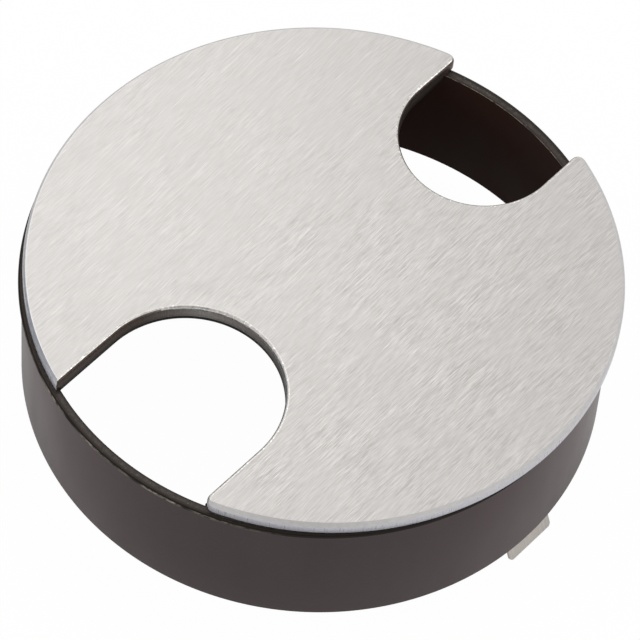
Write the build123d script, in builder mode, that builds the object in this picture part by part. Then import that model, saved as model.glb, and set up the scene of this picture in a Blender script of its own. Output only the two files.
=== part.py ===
# Desk cable grommet: a thin ring for a round hole in a desk top, and a punched steel cover that lies on the ring.
# A base plate under the cover drops into the ring, and two spring clips on it hold the ring's lower edge.
# Millimetres, +Z up. The origin is on the ring's axis, level with the ring's top. The lip's underside lies on the desk.
# +X points to the smaller cable cut-out, and the clips are at -Y and +Y.

import os
from math import sqrt

from build123d import *

# Ring: a straight tube that goes into the desk's hole, with a small lip at the top that stops it there
ring_diameter = 80.0
ring_wall = 1.0
ring_height = 20.4
ring_edge_ease = 0.15
lip_overhang = 0.47
lip_thickness = 0.45

# Cover: a round punched sheet, a little wider than the ring and fixed off its centre, towards +X
cover_overhang = 0.65
cover_thickness = 1.7
cover_slide = 1.13
mouth_corner = 1.2

# Cable cut-outs: the round end's radius, how far that end stays from the cover's centre, and how far aside it is
large_cutout_radius = 13.1
large_cutout_stop = 14.1
large_cutout_side = 0.15
small_cutout_radius = 11.25
small_cutout_stop = 19.8
small_cutout_side = 0.75

# Sheared edge of the cover: rolled over at the top, broken away at a slant in the lower part of the sheet
edge_roll = 0.45
break_depth = 0.12
break_share = 0.5

# Base plate: a thin disc under the cover that centres it in the ring
base_thickness = 0.85
base_clearance = 0.2

# Spring clips: a foot welded under the base, a tongue down inside the ring, and a toe under the ring's lower edge
clip_width = 8.2
clip_thickness = 0.5
clip_foot_length = 12.0
clip_bend_radius = 0.8
clip_clearance = 0.1
toe_bend_radius = 2.0
toe_drop = 3.8
toe_kick = 1.33
toe_corner = 0.6

# Sizes that follow from those above
ring_inner_radius = ring_diameter / 2 - ring_wall
cover_diameter = ring_diameter + 2 * cover_overhang
cover_radius = cover_diameter / 2
base_radius = ring_inner_radius - base_clearance
clip_far_edge = cover_slide + clip_width / 2
tongue_face = sqrt(ring_inner_radius**2 - clip_far_edge**2) - clip_clearance

os.makedirs("parts", exist_ok=True)


def cut_outs():
    """Takes both cable cut-outs, each a U that opens at the rim, out of the outline that is being drawn."""
    for radius, stop, aside, toward in (
        (large_cutout_radius, large_cutout_stop, -large_cutout_side, -1),
        (small_cutout_radius, small_cutout_stop, -small_cutout_side, 1),
    ):
        end_centre = cover_slide + toward * (stop + radius)
        with Locations((end_centre, aside)):
            Circle(radius, mode=Mode.SUBTRACT)
        with Locations((end_centre + toward * cover_radius / 2, aside)):
            Rectangle(cover_radius, 2 * radius, mode=Mode.SUBTRACT)


# Ring: the section of its wall and lip turned about the axis, with the edges eased except in the corner under the lip
with BuildPart() as ring:
    with BuildSketch(Plane.XZ) as ring_section:
        with Locations((ring_inner_radius, 0)):
            Rectangle(ring_wall, ring_height, align=(Align.MIN, Align.MAX))
            Rectangle(ring_wall + lip_overhang, lip_thickness, align=(Align.MIN, Align.MAX))
        corner_under_lip = (ring_diameter / 2, -lip_thickness)
        chamfer(ring_section.vertices().sort_by_distance(corner_under_lip)[1:], ring_edge_ease)
    revolve(axis=Axis.Z)

ring.part.label = "ring"
export_step(ring.part, "parts/ring.step")

# Cover: the disc less the cut-outs, with the corners of both mouths rounded
with BuildPart() as cover_plate:
    with BuildSketch() as cover_outline:
        with Locations((cover_slide, 0)):
            Circle(cover_radius)
        cut_outs()
        fillet(cover_outline.vertices().sort_by_distance((cover_slide, 0))[-4:], mouth_corner)
    extrude(amount=cover_thickness)
    underside = cover_plate.faces().sort_by(Axis.Z)[0]
    chamfer(underside.edges(), break_depth, break_share * cover_thickness, reference=underside)
    fillet(cover_plate.faces().sort_by(Axis.Z)[-1].edges(), edge_roll)

cover_plate.part.label = "cover_plate"
export_step(cover_plate.part, "parts/cover_plate.step")

# Base plate: a disc that fits the ring, punched together with the cover, so that their cut-outs are flush
with BuildPart() as base_plate:
    with BuildSketch():
        Circle(base_radius)
        cut_outs()
    extrude(amount=-base_thickness)

base_plate.part.label = "base_plate"
export_step(base_plate.part, "parts/base_plate.step")


def spring_clip(side):
    """One bent strip, on the -Y side (side -1) or the +Y side (side 1)."""
    mid_line = tongue_face - clip_thickness / 2
    foot_level = -base_thickness - clip_thickness / 2
    kink_level = -ring_height
    with BuildPart() as clip:
        with BuildLine(Plane.YZ.offset(cover_slide)):
            strip_line = FilletPolyline(
                (side * (tongue_face - clip_foot_length), foot_level),
                (side * mid_line, foot_level),
                (side * mid_line, kink_level),
                (side * (mid_line + toe_kick), kink_level - toe_drop),
                radius=[clip_bend_radius + clip_thickness / 2, toe_bend_radius + clip_thickness / 2],
            )
        with BuildSketch(Plane(strip_line @ 0, x_dir=(1, 0, 0), z_dir=strip_line % 0)):
            Rectangle(clip_width, clip_thickness)
        sweep()
        toe_end = clip.faces().sort_by(Axis.Z)[0]
        fillet(toe_end.edges().sort_by(SortBy.LENGTH)[:2], toe_corner)
    return clip.part


# Clips: the near one has the toe that shows below the ring
for clip_name, side in (("near_clip", -1), ("far_clip", 1)):
    clip_part = spring_clip(side)
    clip_part.label = clip_name
    export_step(clip_part, f"parts/{clip_name}.step")
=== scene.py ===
# %% [markdown]
# # A desk cable grommet, dressed
# A desk grommet lines the round hole that is drilled in a desk top for cables. This one is a thin dark tube with a
# brushed steel cover on it. Two cut-outs in the cover let the cables up, and two spring clips hold it in the tube.
# The sizes come from the CAD model, so the first step loads that model as a frame. It is never moved: each piece
# below is modelled again around it, with finer edges, and stands for its CAD node.

# %% Load the CAD frame
from math import atan2, cos, pi, radians, sin, sqrt, tan

import bmesh
import bpy
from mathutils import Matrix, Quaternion, Vector


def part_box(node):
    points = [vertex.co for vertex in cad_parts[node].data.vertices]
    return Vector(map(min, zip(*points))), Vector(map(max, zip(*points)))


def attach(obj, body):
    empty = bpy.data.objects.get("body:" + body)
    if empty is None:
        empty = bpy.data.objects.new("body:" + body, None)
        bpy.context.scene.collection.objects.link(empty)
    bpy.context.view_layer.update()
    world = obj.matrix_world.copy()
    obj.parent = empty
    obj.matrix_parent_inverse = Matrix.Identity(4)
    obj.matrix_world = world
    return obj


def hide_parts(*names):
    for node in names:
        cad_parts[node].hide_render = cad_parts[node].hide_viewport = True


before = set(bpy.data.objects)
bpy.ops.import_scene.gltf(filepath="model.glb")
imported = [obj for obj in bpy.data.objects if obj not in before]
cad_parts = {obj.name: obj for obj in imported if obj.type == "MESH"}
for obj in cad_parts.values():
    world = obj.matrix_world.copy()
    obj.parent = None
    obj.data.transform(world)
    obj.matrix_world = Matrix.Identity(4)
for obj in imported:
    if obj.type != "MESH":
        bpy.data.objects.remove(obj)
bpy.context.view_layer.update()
for node in sorted(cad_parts):
    low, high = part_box(node)
    print(node, "size in mm:", [round(1000 * side, 2) for side in high - low])

# %% [markdown]
# ## The camera first
# With the camera set before anything is modelled, every render can be laid beside the photograph. The picture was
# taken with a long lens from well above: the two rims are almost parallel ellipses. The view is given as a photographer
# would: the direction round the object, the height angle, a small tilt of the camera and the distance.

# %% Camera
view_azimuth, view_elevation, view_tilt = radians(308.16), radians(56.352), radians(5.095)
view_distance, view_lens = 0.69156, 281.25
view_target = Vector((0.00431, 0.0025, -0.01712))
nearest_seen, farthest_seen = 0.01, 50
toward_camera = Vector((sin(view_azimuth) * cos(view_elevation), -cos(view_azimuth) * cos(view_elevation),
                        sin(view_elevation)))

bpy.ops.object.select_all(action="DESELECT")
bpy.ops.object.camera_add(location=view_target + view_distance * toward_camera)
camera = bpy.context.object
camera.rotation_mode = "QUATERNION"
camera.rotation_quaternion = toward_camera.to_track_quat("Z", "Y") @ Quaternion((0, 0, 1), view_tilt)
camera.data.lens = view_lens
camera.data.clip_start, camera.data.clip_end = nearest_seen, farthest_seen
bpy.context.scene.camera = camera
print("camera at", [round(v, 3) for v in camera.location], "lens", camera.data.lens)

# %% [markdown]
# ## Helpers for modelling by operators
# An operator acts on whatever is selected, so each step starts by clearing the selection. Faces and edges are then
# picked in code, by where they are, as a modeller would pick them by eye. A modifier is applied as soon as it is added,
# so that the next step can pick the faces it made.

# %% Adding and selecting


def select_only(piece):
    """Selects one piece and nothing else, and makes it the active one."""
    bpy.ops.object.select_all(action="DESELECT")
    piece.select_set(True)
    bpy.context.view_layer.objects.active = piece


def add(primitive, **settings):
    """Adds a primitive with nothing else selected, and returns its object."""
    bpy.ops.object.select_all(action="DESELECT")
    getattr(bpy.ops.mesh, f"primitive_{primitive}_add")(**settings)
    return bpy.context.object


def settle(piece):
    """Puts a piece's place and scale into its mesh, so that its origin is the frame's."""
    select_only(piece)
    bpy.ops.object.transform_apply(location=True, rotation=True, scale=True)


# %% Editing a mesh


def edit(piece, mode="EDGE"):
    """Goes into edit mode on one piece with nothing selected."""
    select_only(piece)
    bpy.ops.object.mode_set(mode="EDIT")
    bpy.ops.mesh.select_mode(type=mode)
    bpy.ops.mesh.select_all(action="DESELECT")


def pick(kind, test):
    """Selects the vertices, edges or faces of the piece being edited for which test holds, and counts them."""
    mesh = bpy.context.object.data
    shape = bmesh.from_edit_mesh(mesh)
    shape.normal_update()
    bpy.ops.mesh.select_all(action="DESELECT")
    found = [part for part in getattr(shape, kind) if test(part)]
    for part in found:
        part.select_set(True)
    shape.select_flush_mode()
    bmesh.update_edit_mesh(mesh)
    return len(found)


def leave():
    """Goes back to object mode."""
    bpy.ops.object.mode_set(mode="OBJECT")


# %% Modifiers


def apply_modifier(piece, kind, **settings):
    """Adds a modifier to a piece and applies it at once."""
    select_only(piece)
    modifier = piece.modifiers.new(kind.title(), kind)
    for setting, value in settings.items():
        setattr(modifier, setting, value)
    bpy.ops.object.modifier_apply(modifier=modifier.name)


# %% [markdown]
# ## The ring
# The real ring is a short length of thin tube with a dark satin coat, and its top edge is turned out to a small lip
# that stops it in the desk's hole. It could be two cylinders, one cut out of the other, but a wall is better made as a
# wall: an open cylinder is given a thickness inward. A cut all round marks off the lip, and its outer faces are drawn
# out.

# %% Ring wall
MM = 0.001
ring_radius, ring_wall, ring_height = 40.0 * MM, 1.0 * MM, 20.4 * MM
lip_radius, lip_thickness = 40.47 * MM, 0.45 * MM
round_steps, upright_limit = 384, 0.1

dark_tube = add("cylinder", vertices=round_steps, radius=ring_radius, depth=ring_height, end_fill_type="NOTHING",
                location=(0, 0, -ring_height / 2))
settle(dark_tube)
apply_modifier(dark_tube, "SOLIDIFY", thickness=ring_wall, offset=-1, use_even_offset=True)
edit(dark_tube, "FACE")
bpy.ops.mesh.select_all(action="SELECT")
bpy.ops.mesh.normals_make_consistent(inside=False)
bpy.ops.mesh.bisect(plane_co=(0, 0, -lip_thickness), plane_no=(0, 0, 1))
print("ring wall of", round(1000 * ring_wall, 2), "mm,", len(dark_tube.data.polygons), "faces before the cut")

# %% Lip


def lip_outside(face):
    """True for the outer faces above the cut, which become the lip."""
    middle = face.calc_center_median()
    outside = middle.xy.length > ring_radius - ring_wall / 2
    return abs(face.normal.z) < upright_limit and middle.z > -lip_thickness and outside


print("lip faces:", pick("faces", lip_outside))
bpy.ops.mesh.extrude_region_move(TRANSFORM_OT_translate={"value": (0, 0, 0)})
bpy.ops.transform.resize(value=(lip_radius / ring_radius, lip_radius / ring_radius, 1), center_override=(0, 0, 0))
leave()

# %% [markdown]
# Every rim of the ring is eased, as a file leaves it, and the lip is well rounded on top. A bevel modifier would ease
# them all alike, so each rim is picked by its radius and height and gets a width of its own. These fine roundings are
# what catches the thin lines of light.

# %% Picking edges by place


def near(value, target, slack=0.02 * MM):
    """True if two lengths are the same within a small slack."""
    return abs(value - target) < slack


def at_height(part, height):
    """True if all of a part's vertices are at one height."""
    return all(near(vertex.co.z, height) for vertex in part.verts)


def round_edges(width, segments):
    """Bevels the edges that are selected."""
    bpy.ops.mesh.bevel(offset=width, segments=segments, affect="EDGES", clamp_overlap=False)


# %% Eased rims
ring_ease, lip_round, lip_foot_ease = 0.12 * MM, 0.38 * MM, 0.05 * MM
bore_radius = ring_radius - ring_wall


def ease_rims(rims, width, segments):
    """Rounds the edges of the rims, each given by its radius and height."""
    count = pick("edges", lambda edge: any(at_height(edge, height) and
                                           all(near(v.co.xy.length, radius) for v in edge.verts)
                                           for radius, height in rims))
    round_edges(width, segments)
    print("painted_shade_eased", count, "edges by", round(1000 * width, 2), "mm")


edit(dark_tube)
ease_rims([(bore_radius, 0), (bore_radius, -ring_height), (ring_radius, -ring_height)], ring_ease, segments=3)
ease_rims([(lip_radius, 0)], lip_round, segments=6)
ease_rims([(lip_radius, -lip_thickness)], lip_foot_ease, segments=2)
leave()

# %% Finish the ring


def finish_piece(piece, name, angle=32):
    """Settles and names a piece, and shades it smooth except at sharp corners."""
    settle(piece)
    bpy.ops.object.shade_smooth_by_angle(angle=radians(angle))
    piece.name = name
    piece.data.name = name
    print(name, "has", len(piece.data.polygons), "faces")


finish_piece(dark_tube, "dark_tube")
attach(dark_tube, "root")
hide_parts("ring")

# %% [markdown]
# ## The cover
# The cover is punched from a sheet of stainless steel. A punch leaves three zones on the edge: the top is rolled over,
# the upper half is sheared straight, and the lower half breaks away at a slight slant. The whole edge could be drawn as
# one profile, but the steps of the press are easier to follow. The upper half comes first, as a disc less two U-shaped
# punches. Each punch is half a cylinder whose flat side is drawn out past the rim.

# %% Cover blank
cover_radius, cover_thickness, cover_slide = 40.65 * MM, 1.7 * MM, 1.13 * MM
break_height, break_depth = 0.85 * MM, 0.02 * MM
sheared_height = cover_thickness - break_height

steel_cover = add("cylinder", vertices=round_steps, radius=cover_radius, depth=sheared_height, end_fill_type="NGON",
                  location=(cover_slide, 0, break_height + sheared_height / 2))
settle(steel_cover)
print("blank of", round(2000 * cover_radius, 2), "mm,", round(1000 * sheared_height, 2), "mm thick")

# %% Punch the cut-outs
punch_depth, punch_steps, along_axis = 8 * MM, 160, 0.99
# Round end's radius, its distance from the cover's centre, its place aside, and the way it opens along X
cutouts = {"large": (13.1 * MM, 14.1 * MM, -0.15 * MM, -1), "small": (11.25 * MM, 19.8 * MM, -0.75 * MM, 1)}


def punch_cutouts(piece):
    """Takes both U-shaped cut-outs out of a plate."""
    for size, (radius, stop, aside, toward) in cutouts.items():
        end_centre = cover_slide + toward * (stop + radius)
        punch = add("cylinder", vertices=punch_steps, radius=radius, depth=punch_depth, end_fill_type="NGON",
                    location=(end_centre, aside, 0))
        settle(punch)
        edit(punch, "FACE")
        bpy.ops.mesh.select_all(action="SELECT")
        bpy.ops.mesh.bisect(plane_co=(end_centre, 0, 0), plane_no=(toward, 0, 0), use_fill=True, clear_outer=True)
        pick("faces", lambda face: face.normal.x * toward > along_axis and
             near(face.calc_center_median().x, end_centre))
        bpy.ops.mesh.extrude_region_move(TRANSFORM_OT_translate={"value": (toward * cover_radius, 0, 0)})
        leave()
        apply_modifier(piece, "BOOLEAN", object=punch, operation="DIFFERENCE", solver="EXACT")
        bpy.data.objects.remove(punch)
        print(size, "cut-out punched,", len(piece.data.vertices), "vertices")


punch_cutouts(steel_cover)

# %% [markdown]
# Three of the four corners at the mouths are rounded a little, and one is left sharp. A bevel can't pass the next edge
# along, so the short rim edges beside each corner are first dissolved into one that is long enough for the rounding.

# %% Round the mouths' corners
mouth_rounding = {("large", -1): 1.2 * MM, ("large", 1): 0, ("small", -1): 1.2 * MM, ("small", 1): 1.2 * MM}
sharp_reach, spare_reach, corner_segments = 0.3 * MM, 1.02, 10
tiny = 0.01 * MM

edit(steel_cover)
for size, (radius, _, aside, toward) in cutouts.items():
    for side in (-1, 1):
        corner_y = aside + side * radius
        corner_x = sqrt(cover_radius**2 - corner_y**2)
        corner = Vector((cover_slide + toward * corner_x, corner_y))
        half_turn = tan((radians(90) - atan2(abs(corner_y), corner_x)) / 2)
        reach = max(mouth_rounding[size, side], sharp_reach) / half_turn

        def upright_beside_corner(edge):
            """True for the rim's upright edges that the rounding would run into."""
            gap = (edge.verts[0].co.xy - corner).length
            upright = (edge.verts[0].co.xy - edge.verts[1].co.xy).length < tiny
            return upright and tiny < gap < spare_reach * reach

        dissolved = pick("edges", upright_beside_corner)
        bpy.ops.mesh.dissolve_edges(use_verts=True)
        if mouth_rounding[size, side]:
            pick("edges", lambda edge: all((vertex.co.xy - corner).length < tiny for vertex in edge.verts))
            round_edges(reach, corner_segments)
        print("mouth corner at", [round(1000 * v, 2) for v in corner], "dissolved", dissolved)
leave()

# %% [markdown]
# The lower half of the sheet is added next: an inset of the underside with a depth draws it down and in at once, which
# makes the slanted break. The loop round the top is then bevelled in several steps, and that is the roll.

# %% Slanted break and rolled edge
edge_roll, roll_segments = 0.5 * MM, 5
edit(steel_cover, "FACE")
print("faces below:", pick("faces", lambda face: face.normal.z < -along_axis))
bpy.ops.mesh.inset(thickness=break_depth, depth=break_height, use_even_offset=True)
print("faces on top:", pick("faces", lambda face: face.normal.z > along_axis))
bpy.ops.mesh.select_mode(type="EDGE")
bpy.ops.mesh.region_to_loop()
round_edges(edge_roll, roll_segments)
leave()

# %% [markdown]
# The rim has more than a roll: at the front of the photograph it has a flat bevel of about half a millimetre, which
# gets narrower to both sides and is gone at the back, as if it was turned on a lathe a little off centre. It is made
# that way here too. A blank with the bevel on it is put over the cover, a quarter of a millimetre off its centre, and
# what both have in common stays, so the bevel also runs out cleanly at the mouths. Weighted normals then keep the
# shading of the large top flat right up to the bevel.

# %% Turned bevel on the rim
rim_bevel, bevel_shift = 0.3 * MM, 0.25 * MM
blank_margin, blank_foot = 0.3 * MM, 1 * MM
blank_top = cover_thickness + blank_margin
away = Vector((-toward_camera.x, -toward_camera.y, 0)).normalized()
blank_centre = Vector((cover_slide, 0, (blank_top - blank_foot) / 2)) + bevel_shift * away
turned_blank = add("cylinder", vertices=round_steps, radius=cover_radius + blank_margin, depth=blank_top + blank_foot,
                   end_fill_type="NGON", location=blank_centre)
settle(turned_blank)
edit(turned_blank)
print("blank's rim:", pick("edges", lambda edge: at_height(edge, blank_top)))
round_edges(rim_bevel + 2 * blank_margin, segments=1)
leave()
apply_modifier(steel_cover, "BOOLEAN", object=turned_blank, operation="INTERSECT", solver="EXACT")
bpy.data.objects.remove(turned_blank)
finish_piece(steel_cover, "steel_cover")
apply_modifier(steel_cover, "WEIGHTED_NORMAL", keep_sharp=True)
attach(steel_cover, "root")
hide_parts("cover_plate")

# %% [markdown]
# ## The base plate
# Under the cover lies a thin dark plate that drops into the ring and centres the cover there. Cover and base are
# punched with the same cut-outs, so the same helper punches both and their edges are flush. In the cut-outs the base's
# dark coat reaches only part of the way up. A cut all round at that height gives the coat a clean line to end at.

# %% Base plate
base_thickness, base_clearance, base_ease = 0.85 * MM, 0.2 * MM, 0.05 * MM
coat_line, wall_slope = -0.22 * MM, 0.3
base_radius = bore_radius - base_clearance
dark_base = add("cylinder", vertices=round_steps, radius=base_radius, depth=base_thickness, end_fill_type="NGON",
                location=(0, 0, -base_thickness / 2))
settle(dark_base)
punch_cutouts(dark_base)
edit(dark_base)
print("lower edges:", pick("edges", lambda edge: at_height(edge, -base_thickness)))
round_edges(base_ease, segments=2)
bpy.ops.mesh.select_all(action="SELECT")
bpy.ops.mesh.bisect(plane_co=(0, 0, coat_line), plane_no=(0, 0, 1), threshold=tiny)
print("faces below the coat's line:", pick("faces", lambda face: abs(face.normal.z) < wall_slope and
                                           face.calc_center_median().z < coat_line))
leave()
finish_piece(dark_base, "dark_base")
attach(dark_base, "root")
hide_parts("base_plate")

# %% [markdown]
# ## The spring clips
# Each clip is one strip of spring steel: a foot under the base plate, a tongue down inside the ring, and a toe that
# kicks out under the ring's lower edge. It could be cut from a block, but it is modelled along its length, as it is
# bent on a press: a flat foot, a spin for the bend, an extrusion for the tongue, a second spin for the kink, and a
# last run for the toe.

# %% Clip sizes and foot
clip_width, clip_gauge, foot_length = 8.2 * MM, 0.5 * MM, 12.0 * MM
foot_bend, toe_bend = 1.05 * MM, 2.25 * MM
toe_drop, toe_kick, toe_corner = 3.8 * MM, 1.33 * MM, 0.6 * MM
clip_clearance = 0.1 * MM

tongue_face = sqrt(bore_radius**2 - (cover_slide + clip_width / 2) ** 2) - clip_clearance
tongue_mid = tongue_face - clip_gauge / 2
foot_start, foot_end = tongue_face - foot_length, tongue_mid - foot_bend
foot_level = -base_thickness - clip_gauge / 2
kick_angle = atan2(toe_kick, toe_drop)
kink_length = toe_bend * tan(kick_angle / 2)

near_spring_clip = add("plane", size=1, location=(cover_slide, -(foot_start + foot_end) / 2, foot_level))
near_spring_clip.scale = (clip_width, foot_end - foot_start, 1)
settle(near_spring_clip)
print("foot from", round(1000 * foot_start, 2), "to", round(1000 * foot_end, 2), "mm")

# %% Following the strip's free end
tip = {"y": -foot_end, "z": foot_level}


def at_tip(part):
    """True for the edge across the strip's free end, and for its corners."""
    return all(near(v.co.y, tip["y"]) and near(v.co.z, tip["z"]) for v in getattr(part, "verts", [part]))


def move_tip(y, z):
    """Remembers where the strip's free end is now."""
    tip["y"], tip["z"] = y, z


def run_to(y, z):
    """Draws the strip out to a new free end."""
    bpy.ops.mesh.extrude_region_move(TRANSFORM_OT_translate={"value": (0, y - tip["y"], z - tip["z"])})
    move_tip(y, z)


# %% Bend and tongue
bend_steps, tongue_end = 10, -ring_height + kink_length
edit(near_spring_clip)
pick("edges", at_tip)
bpy.ops.mesh.spin(steps=bend_steps, angle=-radians(90), center=(cover_slide, -foot_end, foot_level - foot_bend),
                  axis=(1, 0, 0))
move_tip(-tongue_mid, foot_level - foot_bend)
print("bend done:", pick("edges", at_tip))
run_to(-tongue_mid, tongue_end)
print("tongue done:", pick("edges", at_tip))

# %% Kink and toe
kink_steps, corner_steps = 6, 5
bpy.ops.mesh.spin(steps=kink_steps, angle=kick_angle, center=(cover_slide, -tongue_mid - toe_bend, tongue_end),
                  axis=(1, 0, 0))
move_tip(-tongue_mid - kink_length * sin(kick_angle), -ring_height - kink_length * cos(kick_angle))
print("kink done:", pick("edges", at_tip))
run_to(-tongue_mid - toe_kick, -ring_height - toe_drop)
bpy.ops.mesh.select_mode(type="VERT")
print("toe corners:", pick("verts", at_tip))
bpy.ops.mesh.bevel(offset=toe_corner, segments=corner_steps, affect="VERTICES", clamp_overlap=False)
bpy.ops.mesh.select_all(action="SELECT")
bpy.ops.mesh.remove_doubles(threshold=0.1 * tiny)
bpy.ops.mesh.normals_make_consistent(inside=False)
leave()

# %% [markdown]
# The strip gets its gauge last, half to each side, so that the bends keep their radii. The far clip is the same strip
# on the other side: a copy with its own mesh, mirrored through the ring's axis. Mirroring turns the faces inside out,
# so their normals are set again.

# %% Gauge, and the far clip
strip_ease, sharp_bend = 0.06 * MM, radians(50)
apply_modifier(near_spring_clip, "SOLIDIFY", thickness=clip_gauge, offset=0, use_even_offset=True)
apply_modifier(near_spring_clip, "BEVEL", width=strip_ease, segments=2, limit_method="ANGLE", angle_limit=sharp_bend)
finish_piece(near_spring_clip, "near_spring_clip")

select_only(near_spring_clip)
bpy.ops.object.duplicate()
far_spring_clip = bpy.context.object
edit(far_spring_clip)
bpy.ops.mesh.select_all(action="SELECT")
bpy.ops.transform.resize(value=(1, -1, 1), center_override=(0, 0, 0))
bpy.ops.mesh.normals_make_consistent(inside=False)
leave()
finish_piece(far_spring_clip, "far_spring_clip")
for clip, node in ((near_spring_clip, "near_clip"), (far_spring_clip, "far_clip")):
    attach(clip, "root")
    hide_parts(node)

# %% [markdown]
# ## Nodes in code
# Floor, room and finishes are all made of shader nodes. These helpers add a node with its inputs in one line, so that a
# material reads like a recipe.

# %% Node helpers


def put(tree, kind, inputs=None, **settings):
    """Adds a node, sets its properties, and fills its inputs with values or with other nodes' outputs."""
    made = tree.nodes.new("ShaderNode" + kind)
    for name, value in settings.items():
        setattr(made, name, value)
    for name, value in (inputs or {}).items():
        if isinstance(value, bpy.types.NodeSocket):
            tree.links.new(value, made.inputs[name])
        else:
            made.inputs[name].default_value = value
    return made


def calc(tree, operation, first, second=0.5):
    """One sum on two values."""
    return put(tree, "Math", {0: first, 1: second}, operation=operation).outputs[0]


def spread(tree, value, low, high, to_low=0.0, to_high=1.0):
    """Maps a value from one range to another and holds it at both ends."""
    limits = {"Value": value, "From Min": low, "From Max": high, "To Min": to_low, "To Max": to_high}
    return put(tree, "MapRange", limits).outputs["Result"]


# %% [markdown]
# ## Floor, room and lamps
# The grommet stands on a plain white table. More light would make the table white, but it would burn out the steel too.
# So the table has a matt white of its own, which takes the shadow, and a glow that lifts it to a clean white page for
# the camera. Reflections get a share of that glow: a little in front of the grommet, where the table is in its shade,
# and most of it behind and to the right. From below, the camera looks through the table, so the underside can be seen.

# %% Floor plane
floor_size = 8
floor_level = min(v.co.z for v in near_spring_clip.data.vertices)
floor = add("plane", size=floor_size, location=(0, 0, floor_level))
floor.name = "floor"
print("floor at", round(1000 * floor_level, 2), "mm")

# %% Reading a place


def dot(tree, place, direction):
    """How far a place lies along a direction."""
    return put(tree, "VectorMath", {0: place, 1: direction}, operation="DOT_PRODUCT").outputs["Value"]


def object_place(tree):
    """The place on an object, in metres from its origin."""
    return put(tree, "TexCoord").outputs["Object"]


# %% White table
page_glow, shaded_glow, lit_glow, lit_distance = 0.98, 0.25, 0.9, 70 * MM
matt_white = (0.9, 0.9, 0.9, 1)
right_hand = Vector((away.y, -away.x, 0))
lit_side = away + 0.5 * right_hand

white_table = bpy.data.materials.new("white_table")
white_table.use_nodes = True
tree = white_table.node_tree
tree.nodes.clear()
path = put(tree, "LightPath").outputs
to_mirrors = calc(tree, "MAXIMUM", path["Is Glossy Ray"], path["Is Transmission Ray"])
mirror_glow = spread(tree, dot(tree, object_place(tree), lit_side), 0, lit_distance, shaded_glow, lit_glow)
glow_share = calc(tree, "MAXIMUM", calc(tree, "MULTIPLY", path["Is Camera Ray"], page_glow),
                  calc(tree, "MULTIPLY", to_mirrors, mirror_glow))
matt = put(tree, "BsdfDiffuse", {"Color": matt_white})
glow = put(tree, "Emission", {"Color": (1, 1, 1, 1), "Strength": 1.0})
both = put(tree, "MixShader", {"Fac": glow_share, 1: matt.outputs[0], 2: glow.outputs[0]})
from_below = calc(tree, "MULTIPLY", put(tree, "NewGeometry").outputs["Backfacing"], path["Is Camera Ray"])
clear = put(tree, "BsdfTransparent")
table = put(tree, "MixShader", {"Fac": from_below, 1: both.outputs[0], 2: clear.outputs[0]})
put(tree, "OutputMaterial", {"Surface": table.outputs[0]})
floor.data.materials.append(white_table)
print("table has", len(tree.nodes), "nodes")

# %% [markdown]
# The room is a white world with two darker sides, as a real room has: one behind the photographer, and a bluish one
# low at the left. The first draws the fine dark lines along the edges that face the camera, and the second puts a
# blue-grey shade on the left rim. A picture of a studio could be wrapped round the scene instead, but two soft spots
# are enough. To the camera itself the room is white all over. The view is set to Standard, which shows a colour as it
# is written.

# %% Mixing by a share


def between(tree, share, low, high):
    """A value between two others, by a share from 0 to 1."""
    return spread(tree, share, 0, 1, low, high)


def tint(tree, share, first, second):
    """Mixes two colours, each given as a triple or as another node's output."""
    colours = [c if isinstance(c, bpy.types.NodeSocket) else (*c, 1) for c in (first, second)]
    return put(tree, "Mix", {0: share, 6: colours[0], 7: colours[1]}, data_type="RGBA").outputs[2]


# %% World
room_light, room_seen = 0.88, 0.94
cool_shade, plain_white = (0.4, 0.62, 1.0), (1, 1, 1)
low_left = (-0.95 * right_hand + 0.3 * away).normalized()
# Direction, the cosines at which the shade starts and is full, and the light that is left in it
dark_sides = ((toward_camera, 0.9, 0.985, 0.2), (low_left, 0.84, 0.97, 0.35))

scene = bpy.context.scene
scene.view_settings.view_transform = "Standard"
world = bpy.data.worlds.new("white_room")
scene.world = world
world.use_nodes = True
tree = world.node_tree
path = put(tree, "LightPath").outputs
seen = calc(tree, "MAXIMUM", path["Is Camera Ray"],
            calc(tree, "MAXIMUM", path["Is Glossy Ray"], path["Is Transmission Ray"]))
outward = put(tree, "TexCoord").outputs["Generated"]
behind_camera, at_left = [spread(tree, dot(tree, outward, side), start, full, 1.0, left_over)
                          for side, start, full, left_over in dark_sides]
room_shade = calc(tree, "MAXIMUM", calc(tree, "MULTIPLY", behind_camera, at_left), path["Is Camera Ray"])
room_level = calc(tree, "MULTIPLY", between(tree, seen, room_light, room_seen), room_shade)
room_tint = tint(tree, calc(tree, "MAXIMUM", at_left, path["Is Camera Ray"]), cool_shade, plain_white)
tree.links.new(room_tint, tree.nodes["Background"].inputs["Color"])
tree.links.new(room_level, tree.nodes["Background"].inputs["Strength"])
print("room has", len(dark_sides), "darker sides")

# %% [markdown]
# Two square lamps do the rest. The left one hangs close, above and behind the grommet, where the cover mirrors it
# towards the camera, and gives the cover its soft fall of light from left to right. The right one is high and further
# off, and brightens the edges that face it. A lamp's power follows from its size, so that brightness 1 mirrors as
# white.

# %% Lamps


def softbox(name, right, back, up, size, brightness):
    """A square soft lamp, placed as the photographer sees it and aimed at the grommet."""
    place = right * right_hand + back * away + Vector((0, 0, up))
    bpy.ops.object.select_all(action="DESELECT")
    bpy.ops.object.light_add(type="AREA", location=place)
    lamp = bpy.context.object
    lamp.name = name
    lamp.data.shape = "SQUARE"
    lamp.data.size = size
    lamp.data.energy = brightness * pi * size**2
    lamp.visible_camera = False
    lamp.rotation_mode = "QUATERNION"
    lamp.rotation_quaternion = place.to_track_quat("Z", "Y")
    print(name, "at", [round(v, 2) for v in place], round(lamp.data.energy, 2), "W")


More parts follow.
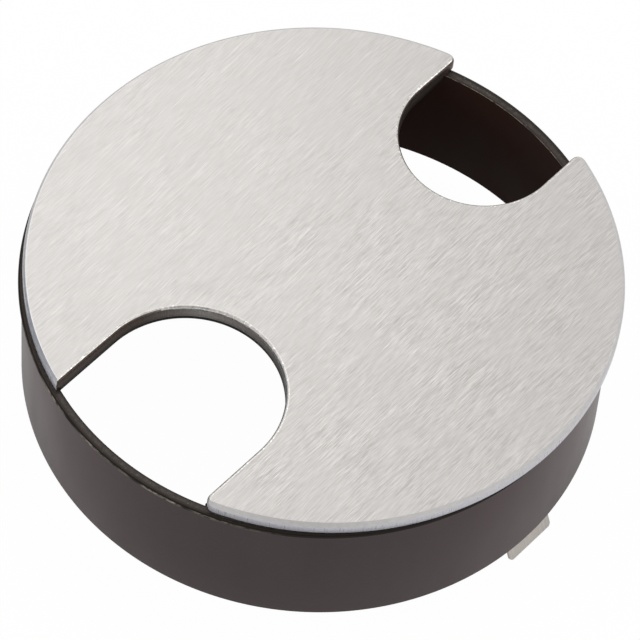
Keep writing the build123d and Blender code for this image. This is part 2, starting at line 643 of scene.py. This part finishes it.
softbox("left_softbox", right=-0.058, back=0.14, up=0.21, size=0.155, brightness=0.95)
softbox("right_softbox", right=0.42, back=0.07, up=0.55, size=0.22, brightness=2.6)

# %% [markdown]
# ## Finishes
# Every finish is made of nodes in Object coordinates, so that a grain has its true size in millimetres. Two effects
# serve more than one finish and are built once, as node groups: the grain of a brush or a roller, and the cloudy skin
# of a dark coat. Where a piece has more than one finish, a small function chooses one for each face.

# %% [markdown]
# ### Grain
# A brushed face is covered with fine parallel scratches of many lengths. One noise, however it is stretched, looks like
# hair. Three are laid over each other instead: short streaks, long soft ones and very fine ones. A slow noise makes
# the brushing stronger in some places, and a fourth stretched noise marks the few long scratches, on which the brushed
# face paints glints.

# %% Noise and node groups


def new_group(name, inputs, outputs):
    """A node group with its named sockets."""
    group = bpy.data.node_groups.new(name, "ShaderNodeTree")
    for socket, kind in inputs.items():
        group.interface.new_socket(name=socket, in_out="INPUT", socket_type="NodeSocket" + kind)
    for socket in outputs:
        group.interface.new_socket(name=socket, in_out="OUTPUT", socket_type="NodeSocketFloat")
    return group, group.nodes.new("NodeGroupInput").outputs, group.nodes.new("NodeGroupOutput").inputs


def cells(tree, size, detail=2.0, roughness=0.5, turn=(0, 0, 0)):
    """Noise in cells of a given size along X, Y and Z, in metres. Size and turn may come from a group's inputs."""
    place = put(tree, "Mapping", {"Vector": object_place(tree), "Scale": size, "Rotation": turn}, vector_type="TEXTURE")
    pattern = {"Vector": place.outputs[0], "Scale": 1.0, "Detail": detail, "Roughness": roughness}
    return put(tree, "TexNoise", pattern).outputs[0]


def cube(size):
    """The size of a cell that is as long as it is wide and high, given in millimetres."""
    return (size * MM, size * MM, size * MM)


# %% Grain group
# Each streak's stretch along and across, its detail, and its lean in degrees
streak_kinds = (((1, 1, 1), 3.0, 0), ((2.2, 1.7, 1), 2.0, -2), ((0.55, 0.6, 1), 1.0, -1), ((2.2, 0.6, 1), 0.0, 3))
short_share, long_share, fine_share = 0.4, 0.2, 0.4
weak_brushing, strong_brushing = 1.3, 3.0

brushed_grain, given, result = new_group("brushed_grain", {"Streak": "Vector", "Turn": "Vector"}, ("Grain", "Scratch"))
tree = brushed_grain
streaks = []
for stretch, detail, lean in streak_kinds:
    size = put(tree, "VectorMath", {0: given["Streak"], 1: stretch}, operation="MULTIPLY").outputs[0]
    turn = put(tree, "VectorMath", {0: given["Turn"], 1: (0, 0, radians(lean))}, operation="ADD").outputs[0]
    streaks.append(cells(tree, size, detail, roughness=0.6, turn=turn))
short, long, fine, scratch = streaks
soft = calc(tree, "ADD", calc(tree, "MULTIPLY", long, long_share), calc(tree, "MULTIPLY", fine, fine_share))
total = calc(tree, "ADD", calc(tree, "MULTIPLY", short, short_share), soft)
strength = spread(tree, cells(tree, cube(7)), 0.35, 0.65, weak_brushing, strong_brushing)
centred = calc(tree, "MULTIPLY", calc(tree, "SUBTRACT", total, 0.5), strength)
tree.links.new(calc(tree, "ADD", centred, 0.5), result["Grain"])
tree.links.new(spread(tree, scratch, 0.66, 0.76), result["Scratch"])
print("grain group has", len(tree.nodes), "nodes")

# %% [markdown]
# ### Skin of a coat
# Sprayed coats are never quite even. Slow clouds change their gloss, a fine orange peel breaks up reflections, and a
# few specks of dust stick in them. Three plain noises give these, and each coat below asks for its own sizes.

# %% Evening out a noise


def evened(tree, noise, to_low=0.0, to_high=1.0):
    """Noise keeps to the middle of its range. This spreads that middle over all of a new range."""
    return spread(tree, noise, 0.3, 0.7, to_low, to_high)


# %% Coat group
coat_skin, given, result = new_group("coat_skin", {"Cloud": "Vector", "Peel": "Vector"}, ("Cloud", "Peel", "Speck"))
tree = coat_skin
tree.links.new(evened(tree, cells(tree, given["Cloud"], detail=3.0, roughness=0.6)), result["Cloud"])
tree.links.new(cells(tree, given["Peel"]), result["Peel"])
tree.links.new(spread(tree, cells(tree, cube(0.3), detail=0.0), 0.74, 0.8), result["Speck"])
print("coat group has", len(tree.nodes), "nodes")

# %% [markdown]
# ### The cover's brushed face
# The top is brushed straight across, about a degree off the line of the cut-outs, and the brush has bitten deeper
# towards one side. Colour, gloss and a very shallow relief all follow the grain. An image of brushed steel would be
# quicker, but it would blur in a close view, and its scratches would have no true size.

# %% Starting a finish


def new_finish(name, **constants):
    """A material with a Principled shader. What is the same all over is set on the shader itself."""
    material = bpy.data.materials.new(name)
    material.use_nodes = True
    shader = material.node_tree.nodes["Principled BSDF"]
    for socket, value in constants.items():
        shader.inputs[socket.replace("_", " ")].default_value = value
    return material, material.node_tree


def use_group(tree, group, **values):
    """Places a node group in a material and returns its outputs."""
    made = tree.nodes.new("ShaderNodeGroup")
    made.node_tree = group
    for name, value in values.items():
        made.inputs[name].default_value = value
    return made.outputs


# %% Completing a finish


def relief(tree, height, depth):
    """A normal for a relief of a given depth in metres."""
    return put(tree, "Bump", {"Height": height, "Distance": depth, "Strength": 1.0}).outputs[0]


def link_finish(material, **varied):
    """Links what varies over the surface to the Principled shader."""
    tree = material.node_tree
    for socket, output in varied.items():
        tree.links.new(output, tree.nodes["Principled BSDF"].inputs[socket.replace("_", " ")])
    print(material.name, "has", len(tree.nodes), "nodes")


# %% Brushed face
dull_steel, bright_steel, painted_scratch_glint = (0.43, 0.414, 0.398), (0.614, 0.592, 0.574), (0.86, 0.85, 0.83)
deep_side = Vector((0.201, -0.9796, 0))

brushed, tree = new_finish("brushed_steel_face", Metallic=1.0)
grain = use_group(tree, brushed_grain, Streak=(2.7 * MM, 0.11 * MM, 1 * MM), Turn=(0, 0, radians(1.2)))
depth = spread(tree, dot(tree, object_place(tree), deep_side), -20 * MM, 22 * MM, 0.7, 1.9)
brush = calc(tree, "ADD", calc(tree, "MULTIPLY", calc(tree, "SUBTRACT", grain["Grain"], 0.5), depth), 0.5)
steel = tint(tree, brush, dull_steel, bright_steel)
# The long scratches are real marks, but their near-white colour is a painted glint.
steel = tint(tree, calc(tree, "MULTIPLY", grain["Scratch"], 0.25), steel, painted_scratch_glint)
link_finish(brushed, Base_Color=steel, Roughness=between(tree, brush, 0.5, 0.34),
            Normal=relief(tree, brush, 0.004 * MM))

# %% [markdown]
# ### The cover's rim
# The roll and the bevel at the rim are smooth and only slightly smeared. Below them, the sheared wall is paler, with a
# painted bluish reflection in its colour, upright marks from the punch and a few small burrs with painted glints. A
# second bevel would be too even for those marks, so they are noise that is stretched upright.

# %% Rolled rim
rolled, tree = new_finish("rolled_steel_rim", Metallic=1.0)
smear = cells(tree, (0.8 * MM, 0.8 * MM, 0.2 * MM), detail=3.0, roughness=0.6)
link_finish(rolled, Base_Color=tint(tree, evened(tree, smear), (0.52, 0.505, 0.500), (0.60, 0.585, 0.580)),
            Roughness=evened(tree, smear, 0.3, 0.38))

# %% Sheared rim
sheared, tree = new_finish("sheared_steel_rim", Metallic=0.15, IOR=1.8)
marks = cells(tree, (0.25 * MM, 0.25 * MM, 2.5 * MM), detail=3.0, roughness=0.6)
# Painted glints: white specks on the burrs. The bluish tint of the wall's colour is a painted reflection.
burr_glint = spread(tree, cells(tree, (0.7 * MM, 0.7 * MM, 0.3 * MM)), 0.7, 0.76)
steel = tint(tree, evened(tree, marks), (0.5, 0.5, 0.545), (0.59, 0.59, 0.64))
link_finish(sheared, Base_Color=tint(tree, burr_glint, steel, (0.9, 0.9, 0.9)), Roughness=evened(tree, marks, 0.25, 0.36),
            Normal=relief(tree, marks, 0.01 * MM))

# %% [markdown]
# ### The cut-outs' edges
# The rolled edge of the cut-outs is burnished by the punch and has small painted glints. The walls below are torn, and
# their colour carries painted shade and light: painted darkest on the straight runs, and painted paler round the end of
# the large cut-out, most of all on one side, so two colours are mixed by the place along the cut-out.

# %% Burnished edge of the cut-outs
burnished, tree = new_finish("burnished_cut_edge", Metallic=1.0)
rub = cells(tree, (0.5 * MM, 0.5 * MM, 0.15 * MM), detail=3.0, roughness=0.65)
# Painted glints: near-white specks on the burnished edge.
glint = spread(tree, cells(tree, cube(0.3), detail=1.0), 0.62, 0.7)
steel = tint(tree, evened(tree, rub), (0.46, 0.44, 0.42), (0.7, 0.68, 0.65))
link_finish(burnished, Base_Color=tint(tree, glint, steel, (0.92, 0.9, 0.87)),
            Roughness=evened(tree, rub, 0.24, 0.4), Normal=relief(tree, rub, 0.03 * MM))

# %% Torn walls of the cut-outs
torn_painted_light_and_shade, tree = new_finish("torn_steel_painted_light_and_shade", Metallic=0.85)
marks = evened(tree, cells(tree, (0.2 * MM, 0.2 * MM, 3 * MM), detail=3.0, roughness=0.65))
place = put(tree, "SeparateXYZ", {0: object_place(tree)}).outputs
# Painted shade and light: the straight runs get a dark colour, and the round end of the large cut-out a paler one,
# palest on one side.
in_large = spread(tree, place["X"], 5 * MM, -5 * MM)
off_straight = spread(tree, place["Y"], 12.5 * MM, 7.5 * MM)
painted_light_side = spread(tree, place["Y"], -6 * MM, 6 * MM, 0.2, 1.0)
painted_light_round_end = calc(tree, "MULTIPLY", calc(tree, "MULTIPLY", off_straight, in_large), painted_light_side)
painted_shade_straight_steel = tint(tree, marks, (0.09, 0.066, 0.055), (0.14, 0.107, 0.093))
painted_light_round_steel = tint(tree, marks, (0.34, 0.32, 0.305), (0.5, 0.475, 0.455))
link_finish(torn_painted_light_and_shade, Base_Color=tint(tree, painted_light_round_end, painted_shade_straight_steel, painted_light_round_steel),
            Roughness=between(tree, marks, 0.4, 0.55), Normal=relief(tree, marks, 0.02 * MM))

# %% [markdown]
# ### The cover's underside
# Nobody brushes the side that is never seen. It keeps the coarse, soft grain of the rolling mill, which runs across the
# brushing, so the same grain group is used again with longer, wider streaks and a quarter turn.

# %% Mill underside
milled, tree = new_finish("milled_steel_underside", Metallic=1.0)
grain = use_group(tree, brushed_grain, Streak=(6 * MM, 0.5 * MM, 1 * MM), Turn=(0, 0, radians(90)))["Grain"]
link_finish(milled, Base_Color=tint(tree, grain, (0.44, 0.435, 0.43), (0.6, 0.595, 0.585)),
            Roughness=between(tree, grain, 0.5, 0.4))

# %% [markdown]
# The cover is one mesh, so its six finishes are shared out by face: level faces are top or underside, faces near the
# rim's radius are rim, and the rest belongs to the cut-outs. There the lower part of the roll gets the dark torn finish
# as painted shade, all round the small cut-out and along one straight run of the large one.

# %% Sharing out finishes


def lay_finishes(piece, finishes, choose):
    """Gives each face of a piece the finish that is chosen for it."""
    for finish in finishes:
        piece.data.materials.append(finish)
    chosen = [finishes.index(choose(polygon)) for polygon in piece.data.polygons]
    for polygon, index in zip(piece.data.polygons, chosen):
        polygon.material_index = index
    print(piece.name, {finish.name: chosen.count(index) for index, finish in enumerate(finishes)})


# %% Cover faces get their steel
dead_level, wall_tilt, shaded_roll_tilt = 0.999, 0.03, 0.8
shaded_roll_run, shaded_roll_slant = 8 * MM, 4.5 * MM
rim_zone = 1.05 * (rim_bevel + bevel_shift)
cover_centre = Vector((cover_slide, 0))


def cover_finish(polygon):
    """The steel of one face of the cover, by its place and slope."""
    middle, up = polygon.center, polygon.normal.z
    if abs(up) > dead_level:
        return brushed if up > 0 else milled
    if (middle.xy - cover_centre).length > cover_radius - rim_zone:
        return rolled if up > wall_tilt else sheared
    # Painted shade: on these runs the lower roll takes the dark torn finish.
    painted_shade_roll = up < shaded_roll_tilt and (middle.x > 0 or middle.y > shaded_roll_run + shaded_roll_slant * up)
    return burnished if up > wall_tilt and not painted_shade_roll else torn_painted_light_and_shade


lay_finishes(steel_cover, [brushed, rolled, sheared, burnished, torn_painted_light_and_shade, milled], cover_finish)

# %% [markdown]
# ### The ring's lacquer
# The ring is coated steel, almost black with a little brown in it. What is seen on such a coat is mostly its satin
# gloss. A black plastic shader mirrors too little from the front and too much at the outline, so the lacquer is a
# metal with a very dark colour, and its edge tint is set just below white.

# %% Ring lacquer
lacquer, tree = new_finish("dark_satin_lacquer", Metallic=1.0, Specular_Tint=(0.87, 0.81, 0.81, 1))
skin = use_group(tree, coat_skin, Cloud=(9 * MM, 9 * MM, 30 * MM), Peel=cube(0.5))
coat = tint(tree, skin["Cloud"], (0.060, 0.0485, 0.0510), (0.070, 0.0565, 0.0595))
dusty = tint(tree, calc(tree, "MULTIPLY", skin["Speck"], 0.08), coat, (0.2, 0.18, 0.17))
link_finish(lacquer, Base_Color=dusty, Roughness=between(tree, skin["Cloud"], 0.28, 0.34),
            Normal=relief(tree, skin["Peel"], 0.004 * MM))

# %% [markdown]
# The flat top of the ring's wall shows in both mouths as a narrow, blotchy band, with painted shade at both of its
# edges. The distance from the axis finds those edges. The eased edges themselves are painted deep black as shade.

# %% Ring's flat top
# Distances from the axis at which the painted shade at the edges starts and is full
outer_edge, inner_edge = (39.75 * MM, 39.95 * MM), (39.4 * MM, 39.2 * MM)

flat_top, tree = new_finish("dark_flat_top", IOR=1.4, Specular_Tint=(1, 0.87, 0.8, 1))
skin = use_group(tree, coat_skin, Cloud=cube(0.7), Peel=cube(0.3))
out = put(tree, "VectorMath", {0: object_place(tree)}, operation="LENGTH").outputs["Value"]
# Painted shade: both edges of the flat top are darkened by their distance from the axis.
painted_shade_at_edges = calc(tree, "MAXIMUM", spread(tree, out, *outer_edge), spread(tree, out, *inner_edge))
coat = tint(tree, skin["Cloud"], (0.006, 0.0048, 0.0040), (0.060, 0.0495, 0.0415))
coat = tint(tree, painted_shade_at_edges, coat, (0.004, 0.003, 0.0022))
dusty = tint(tree, calc(tree, "MULTIPLY", skin["Speck"], 0.3), coat, (0.2, 0.19, 0.17))
link_finish(flat_top, Base_Color=dusty, Roughness=between(tree, skin["Cloud"], 0.3, 0.45),
            Normal=relief(tree, skin["Peel"], 0.008 * MM))

# %% Ring's eased edges
# Painted shade: the eased edges are given a near-black colour.
painted_shade_eased, tree = new_finish("eased_edge_painted_shade", IOR=1.28, Specular_Tint=(1, 0.87, 0.78, 1))
skin = use_group(tree, coat_skin, Cloud=cube(1.5), Peel=cube(0.3))
link_finish(painted_shade_eased, Base_Color=tint(tree, skin["Cloud"], (0.004, 0.0028, 0.0020), (0.009, 0.0065, 0.0045)),
            Roughness=between(tree, skin["Cloud"], 0.32, 0.45))

# %% [markdown]
# Inside, the ring is matt and browner, and has next to no gloss. It could share the lacquer and be dark by shade alone,
# but then it would mirror the white table and turn grey.

# %% Matt inside of the ring
matt_inside, tree = new_finish("dark_matt_inside", IOR=1.45, Specular_IOR_Level=0.02)
skin = use_group(tree, coat_skin, Cloud=(8 * MM, 8 * MM, 12 * MM), Peel=cube(0.4))
link_finish(matt_inside, Base_Color=tint(tree, skin["Cloud"], (0.029, 0.0125, 0.0085), (0.037, 0.0160, 0.0110)),
            Roughness=between(tree, skin["Cloud"], 0.5, 0.62), Normal=relief(tree, skin["Peel"], 0.006 * MM))

# %% [markdown]
# On the lip and the inner top edge, the coat is painted near black as shade, and at the two mouths a painted highlight
# shows on it as a broken beige line. A slow noise says where along the edge that happens, a quick one breaks it up, and
# the place along X keeps it to the mouths.

# %% Painted shade and highlight on the ring's edges
highlight_start, highlight_full = 32.5 * MM, 37 * MM
painted_shade_coat, painted_highlight_beige = (0.009, 0.0062, 0.0044), (0.28, 0.245, 0.2)

painted_edge_shade_and_highlight, tree = new_finish("lacquer_edge_painted_shade_and_highlight", IOR=1.28)
highlight_patches = spread(tree, cells(tree, cube(7)), 0.38, 0.54)
broken = spread(tree, cells(tree, (0.8 * MM, 0.8 * MM, 0.2 * MM), detail=3.0, roughness=0.7), 0.35, 0.6)
across = calc(tree, "ABSOLUTE", put(tree, "SeparateXYZ", {0: object_place(tree)}).outputs["X"])
at_mouths = spread(tree, across, highlight_start, highlight_full)
# Painted highlight: a broken beige line near the mouths. Elsewhere the edge keeps its near-black painted shade.
painted_highlight_share = calc(tree, "MULTIPLY", calc(tree, "MULTIPLY", highlight_patches, broken), at_mouths)
link_finish(painted_edge_shade_and_highlight, Base_Color=tint(tree, painted_highlight_share, painted_shade_coat, painted_highlight_beige),
            Metallic=calc(tree, "MULTIPLY", painted_highlight_share, 0.5), Roughness=between(tree, painted_highlight_share, 0.3, 0.45))

# %% Ring faces get their coat
top_tilt, edge_tilt, lip_tilt = 0.95, 0.05, 0.7
lip_zone = 1 * MM


def ring_finish(polygon):
    """The coat of one face of the ring, by its place and slope."""
    up = polygon.normal.z
    outside = polygon.center.xy.length > bore_radius + ring_wall / 2
    lip_edge = outside and polygon.center.z > -lip_zone and -top_tilt < up < lip_tilt
    bore_edge = not outside and edge_tilt < up < top_tilt and polygon.center.x > 0
    if lip_edge or bore_edge:
        return painted_edge_shade_and_highlight
    if up > top_tilt:
        return flat_top
    if abs(up) > edge_tilt:
        return painted_shade_eased
    return lacquer if outside else matt_inside


lay_finishes(dark_tube, [lacquer, flat_top, painted_shade_eased, matt_inside, painted_edge_shade_and_highlight], ring_finish)

# %% [markdown]
# ### The base plate's coat
# The base has a plain matt coat, nearly black. In the cut-outs the steel above the coat's line is bare and torn like
# the wall of the cover above it, so those faces get the same finish, with its painted shade and light.

# %% Base plate coat
wall_inset = 0.05 * MM
matt_coat, tree = new_finish("dark_matt_coat", IOR=1.3)
skin = use_group(tree, coat_skin, Cloud=cube(6), Peel=cube(0.3))
coat = tint(tree, skin["Cloud"], (0.010, 0.0080, 0.0068), (0.018, 0.0145, 0.0122))
dusty = tint(tree, calc(tree, "MULTIPLY", skin["Speck"], 0.3), coat, (0.2, 0.18, 0.16))
link_finish(matt_coat, Base_Color=dusty, Roughness=between(tree, skin["Cloud"], 0.45, 0.6),
            Normal=relief(tree, skin["Peel"], 0.01 * MM))


def base_finish(polygon):
    """Bare steel on the walls of the cut-outs above the coat's line, and the coat everywhere else."""
    in_cutout = polygon.center.xy.length < base_radius - wall_inset
    bare_wall = abs(polygon.normal.z) < wall_slope and polygon.center.z > coat_line
    return torn_painted_light_and_shade if in_cutout and bare_wall else matt_coat


lay_finishes(dark_base, [matt_coat, torn_painted_light_and_shade], base_finish)

# %% [markdown]
# ### Spring steel
# The clips are cut from rolled strip. The rolling leaves a faint grain along the strip, which runs down the tongue and
# round the bends, so the grain is stretched both in Y and in Z and is fine only across the strip.

# %% Spring steel
spring, tree = new_finish("rolled_spring_steel", Metallic=1.0)
grain = use_group(tree, brushed_grain, Streak=(0.2 * MM, 4 * MM, 4 * MM), Turn=(0, 0, 0))["Grain"]
link_finish(spring, Base_Color=tint(tree, grain, (0.56, 0.52, 0.485), (0.72, 0.67, 0.63)),
            Roughness=between(tree, grain, 0.46, 0.34), Normal=relief(tree, grain, 0.004 * MM))
for clip in (near_spring_clip, far_spring_clip):
    clip.data.materials.append(spring)

# %% [markdown]
# ## Sizes
# The dressed pieces should agree in size with the CAD model: a finish or a fine edge may take a little off a piece,
# but nothing should stick out past the part that it stands for. This last cell only updates the view layer.

# %% Sizes
bpy.context.view_layer.update()
